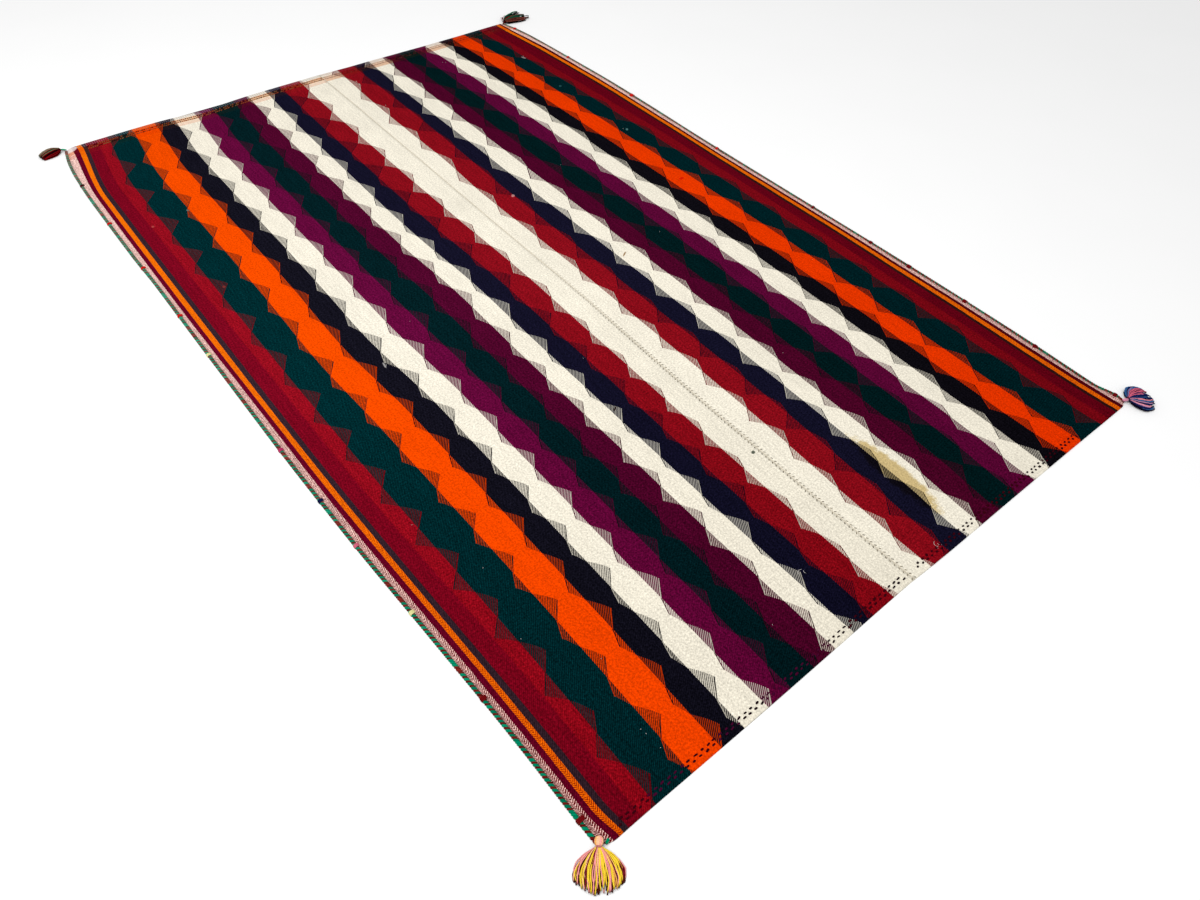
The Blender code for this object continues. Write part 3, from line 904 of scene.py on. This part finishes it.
def seam_stitches():
    """Herringbone stitches over the seam, which sink into the cream cloth towards the middle of the rug."""
    along = np.arange(8, SEAM_STITCHES_END, SEAM_STITCH_PITCH)
    count = len(along)
    fading = np.clip((SEAM_STITCHES_END - along) / SEAM_STITCHES_FADE, 0.25, 1.0)
    sides = []
    for side in (-1, 1):
        across = smooth_column(SIDES, SEAM, along) + side * SEAM_STITCH_SIDE + uneven(count, 0.4)
        heading = 90 + side * SEAM_STITCH_LEAN + uneven(count, 9)
        sides.append(stitch_lines(across, along + uneven(count, 0.8), heading, SEAM_STITCH_LENGTH, 0.35))
    dyes = CHANCE.integers(0, 2, (2, count))
    rows = [(lines, fading, dye) for lines, dye in zip(sides, dyes)]
    # The grey-brown of the stitch yarn is partly painted shadow: the stitches themselves are paler.
    return add_stitches("seam_stitches", rows, dyed_yarn("seam_stitch_yarn_and_shadow", ("#9A8F79", "#746A5A")))


def seam_thread():
    """The cream yarn that draws the panels together lies in the seam from end to end."""
    along = np.arange(5.0, LENGTH - 4, 6.0)
    across = smooth_column(SIDES, SEAM, along)
    line = joined(across, along, cloth_top(across, along) - 0.15)[None]
    yarn = dyed_yarn("cream_thread", ("#EADFC8",))
    return add_yarns("seam_thread", line, 1.3, 0.5, [0], yarn, "panel_left", around=6, plies=0.08)


def loose_fluff():
    """Bits of white fluff caught on the cloth, each a short bent thread."""
    across, along, length, heading, bend = np.array(FLUFF, float).T[..., None]
    s = np.linspace(-1.0, 1.0, 9)
    x, y = turned_by(heading, s * length / 2, bend * (1 - s ** 2), across, along)
    lines = joined(x, y, cloth_top(x, y) + 0.5)
    width = 0.4 * np.sqrt(1.0 - 0.8 * s ** 4)
    dyes = np.zeros(len(lines))
    yarn = dyed_yarn("fluff", ("#F4F0EC",))
    return add_yarns("caught_fluff", lines, width, 0.6 * width, dyes, yarn, "panel_right", around=6)


def add_binding(name, on_loom, side_column, inward, green_length, brown_length, green, brown):
    """An overcast side cord along the side curve, which swells at each wrap. The wraps lean."""
    wraps = round(2 * LENGTH / (green_length + brown_length))
    lengths = np.where(np.arange(wraps) % 2, green_length, brown_length) * (1 + uneven(wraps, 0.18))
    wrap_ends = np.concatenate([[0.0], np.cumsum(lengths)]) / lengths.sum()
    place_in_wrap, swell = np.transpose(WRAP_SWELL)
    place = np.append((np.arange(wraps)[:, None] + place_in_wrap).ravel(), wraps)[:, None]
    size = np.append(np.tile(swell, wraps), swell[0])[:, None]
    width_share, height_share = (BINDING_PROFILE if inward > 0 else BINDING_PROFILE[::-1]).T
    towards_end = np.minimum(np.minimum(place, wraps - place) / 3.0, 1.0)
    lean = (0.5 - width_share) * towards_end / wraps
    share = np.interp(place, np.arange(wraps + 1), wrap_ends) + lean
    near, length = ends_at(float(on_loom))
    along = near + share * length
    from_cloth = BINDING_WIDTH * (1.0 - width_share) * size
    across = smooth_column(SIDES, side_column, along) + inward * (BINDING_WIDTH - from_cloth)
    points = joined(across, along, BINDING_HEIGHT * height_share * size)[None]
    turn = np.arange(len(width_share)) / len(width_share)
    layout = joined(turn, share * LENGTH * MM)
    finish = wrapped_binding(name + "_wool", green, brown)
    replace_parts(add_loft(name + "_wraps", points, finish, "binding", layout, wrap=place), name)


def side_ties(name, side_column, inward, places):
    """Yarn ties round the binding: each is three to five wraps that come over it onto the pink stripe."""
    step = np.linspace(0.0, 1.0, 10)
    rise = np.interp(step, *TIE_RISE.T)
    lines, dyes = [], []
    for along, length, dye, wraps in places:
        beside = (np.arange(wraps) - (wraps - 1) / 2) * TIE_PITCH
        middle = along + beside[:, None] + inward * 1.6 * (step - 0.5)
        across = smooth_column(SIDES, side_column, middle) + inward * (length * step - 0.9)
        lines.append(joined(across, middle, rise))
        dyes.append(np.full(wraps, dye))
    width = TIE_PITCH * 0.56 * np.sqrt(1.0 - 0.6 * (2 * step - 1) ** 6)
    yarn = dyed_yarn(name + "_yarn", TIE_DYES)
    add_yarns(name, np.concatenate(lines), width, 0.62 * width, np.concatenate(dyes), yarn, "binding")


def corner_wrap():
    """The last turn of the left binding, which comes over the near corner beside the tassel."""
    line = stitch_lines(np.array([12.5]), np.array([2.0]), 28, 9.0, 1.6)
    width = 2.7 * STITCH_SHAPE
    add_yarns("corner_wrap", line, width, 1.5, [0], dyed_yarn("green_wrap", ("#009468",)), "binding")


# Tassels


def skirt_lines(make, span, layer, trim):
    """Yarns that fill a skirt from its neck: forward = length u reach, sideways = half width W(u) span.

    u runs from 0 at the neck to 1 at the cut, W and the heights come from the skirt's outline, and layer is
    the share of the height from the lowest yarn to the highest.
    """
    u = np.linspace(0.0, 1.0, 18)
    steps, *outline = SKIRTS[make["skirt"]]
    half_width, top, under = (np.interp(u, steps, shares) for shares in (*outline, UNDERSIDE))
    notch = make["notch"] * np.exp(-(span / TUFT_GAP) ** 2)
    reach = (1.0 - make["round_end"] * span ** 2 - notch) * trim
    bends = 0.8 + 0.6 * CHANCE.random((len(span), 1))
    wander = 0.042 * np.sin(2 * np.pi * (u * bends + CHANCE.random((len(span), 1)))) * u
    aside = np.clip(span[:, None] + wander, -1, 1) * make["half_width"] * half_width
    forward = make["length"] * u * reach[:, None]
    crown = np.sqrt(1.0 - SIDE_THINNING * span[:, None] ** 4)
    highest = make["height"] * (under + (top - under) * crown)
    lowest = make["height"] * under + make["radius"] * (1.0 + SKIRT_PLIES)
    z = lowest + layer[:, None] * np.maximum(highest - make["radius"] - lowest, 0.0)
    x, y = turned_by(make["heading"], forward, -aside, *make["neck"])
    return joined(x, y, z), u


def add_skirt(name, make, finish):
    """The hanging yarns of a tassel, in three layers, of which the lower ones are darker with painted shadow.
    """
    letters = "".join(make["dyes"])
    order = np.array([letters.index(letter) for letter in make["order"]])
    cut_short = np.array([letter in make["short"] for letter in make["order"]])
    lines, dyes = [], []
    for layer, crowding, shadow in SKIRT_LAYERS:
        count = round(make["strands"] * crowding)
        span = np.linspace(-1.0, 1.0, count + 1)[:-1] + 1.0 / count + uneven(count, 0.4 / count)
        place = np.clip((span + 1) / 2 * len(order) + uneven(count, 0.8), 0, len(order) - 1).astype(int)
        trim = 1.0 + make["ragged"] * (0.25 - CHANCE.random(count) ** 1.3)
        trim = np.where(cut_short[place], 0.5 * trim, trim)
        height_share = np.clip(layer + uneven(count, 0.14), 0.0, 1.0)
        path, u = skirt_lines(make, span, height_share, trim)
        lines.append(path)
        dyes.append(np.where(CHANCE.random(count) < shadow, letters.index("s"), order[place]))
    width = make["radius"] * np.interp(u, [0.0, 0.10, 0.35, 1.0], [0.55, 0.7, 0.95, 1.0])
    cut_end = np.interp(u, [0.93, 1.0], [0.0, 0.75])
    lines, dyes = np.concatenate(lines), np.concatenate(dyes)
    piece = add_yarns(name + "_skirt", lines, width, width, dyes, finish, name, plies=SKIRT_PLIES,
                      cut_end=cut_end)
    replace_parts(piece, name)


def add_head(name, make, finish):
    """The knotted head, whose yarns run like meridians with r = half sin(pi t)^0.6, and the neck's turns."""
    letters = "".join(make["dyes"])
    half = make["half"]
    back = np.array(make["tie"], float) - make["neck"]
    length = np.hypot(*back)
    ahead = (*(back / length), 0.0)
    axes = np.array([ahead, np.cross(ahead, UPWARD), UPWARD])
    middle = np.array([*make["neck"], HEAD_UNDERSIDE + HEAD_FLATNESS * half])

    def round_head(forward, sideways, upwards):
        """Places by their distances ahead of the neck, to its right and over the middle of the head."""
        return middle + joined(forward, sideways, upwards) @ axes

    dyes = [letters.index(letter) for letter in make["head"]]
    t = np.linspace(0.0, 0.86, 11)
    yarn = half * 0.22
    spread = (0.9 * half - yarn) * np.sin(np.pi * (0.10 + 0.90 * t)) ** 0.6
    around = 2 * np.pi * (np.arange(len(dyes)) / len(dyes))[:, None]
    lines = round_head(t * length, spread * np.cos(around), HEAD_FLATNESS * spread * np.sin(around))
    width = yarn * np.interp(t, [0.0, 0.2, 0.7, 0.86], [0.75, 1.15, 1.15, 0.7])
    add_yarns(name + "_knot", lines, width, width, dyes, finish, name, plies=0.06)

    turn = np.linspace(0.0, 2 * np.pi * 0.999, 17)
    lines = round_head(NECK_TURNS[:, None], 0.42 * half * np.cos(turn), 0.378 * half * np.sin(turn))
    dyes = [letters.index(make["neck_dye"])] * len(NECK_TURNS)
    add_yarns(name + "_neck", lines, 0.95, 0.95, dyes, finish, name, around=6, upward=ahead)


left_cloth, left_width = add_panel("panel_left", LEFT_STRIPES, LEFT_STATIONS, LEFT_WAISTS, 0, LEFT, LEFT_LOOK)
right_cloth, right_width = add_panel(
    "panel_right", RIGHT_STRIPES, RIGHT_STATIONS, RIGHT_WAISTS, LOOM_WIDTH, RIGHT, RIGHT_LOOK)
near_stitches = near_end_stitches()
herringbone = seam_stitches()
cream_thread = seam_thread()
twining = far_end_rows()
fluff = loose_fluff()

for binding_name, binding_make in BINDINGS.items():
    add_binding(binding_name, *binding_make)
corner_wrap()
side_ties("left_ties", LEFT, 1.0, LEFT_TIES)
side_ties("right_ties", RIGHT, -1.0, RIGHT_TIES)
for tassel_name, tassel_make in TASSELS.items():
    tassel_dyes = tuple(tassel_make["dyes"].values())
    tassel_yarn = dyed_yarn(tassel_name + "_yarn", tassel_dyes, depth=0.95, sides=0.55)
    add_skirt(tassel_name, tassel_make, tassel_yarn)
    add_head(tassel_name, tassel_make, tassel_yarn)


# Floor, light and camera

HALF_FLOOR = 7.0
SOFTBOX_PLACE = Vector((-1.8, -0.5, 3.4))
EYE = (-328, -314, 1487)
EYE_TURN = (41.40, -2.01, -39.20)

# A plain pale floor at the height on which the rug lies.
floor = bpy.data.meshes.new("floor")
floor_corners = [(x * HALF_FLOOR, y * HALF_FLOOR, 0) for x, y in ((-1, -1), (1, -1), (1, 1), (-1, 1))]
floor.from_pydata(floor_corners, [], [(0, 1, 2, 3)])
floor_finish = Finish("pale_floor")
floor_cloud = floor_finish.cloud(floor_finish.node("TexCoord", output=3), 3.0)
floor_colour = floor_finish.shade(linear("#F4F4F4"), 1.0 + 0.02 * floor_cloud)
floor.materials.append(floor_finish.done(floor_colour, 0.85 + 0.02 * floor_cloud, floor_cloud, relief=0.0001))
add_object("floor", floor)

# A square soft light, turned to the middle of the rug.
lamp = bpy.data.lights.new("softbox", "AREA")
lamp.shape = "SQUARE"
lamp.size = 2.5
lamp.energy = 85
softbox = add_object("softbox", lamp)
softbox.location = SOFTBOX_PLACE
softbox.rotation_euler = (-SOFTBOX_PLACE).to_track_quat("-Z", "Y").to_euler()

# Even white light from all round.
world = bpy.data.worlds.new("daylight")
world.use_nodes = True
background = world.node_tree.nodes["Background"]
background.inputs["Color"].default_value = (1.0, 1.0, 1.0, 1.0)
background.inputs["Strength"].default_value = 0.80
bpy.context.scene.world = world

# A wide view from above the near left corner, as someone stands there and looks across the rug.
camera = add_object("camera", bpy.data.cameras.new("camera"))
camera.data.lens = 26.14
camera.data.sensor_width = 36.0
camera.location = to_frame(EYE)
camera.rotation_euler = [radians(angle) for angle in EYE_TURN]
bpy.context.scene.camera = camera
bpy.context.scene.view_settings.view_transform = "Standard"
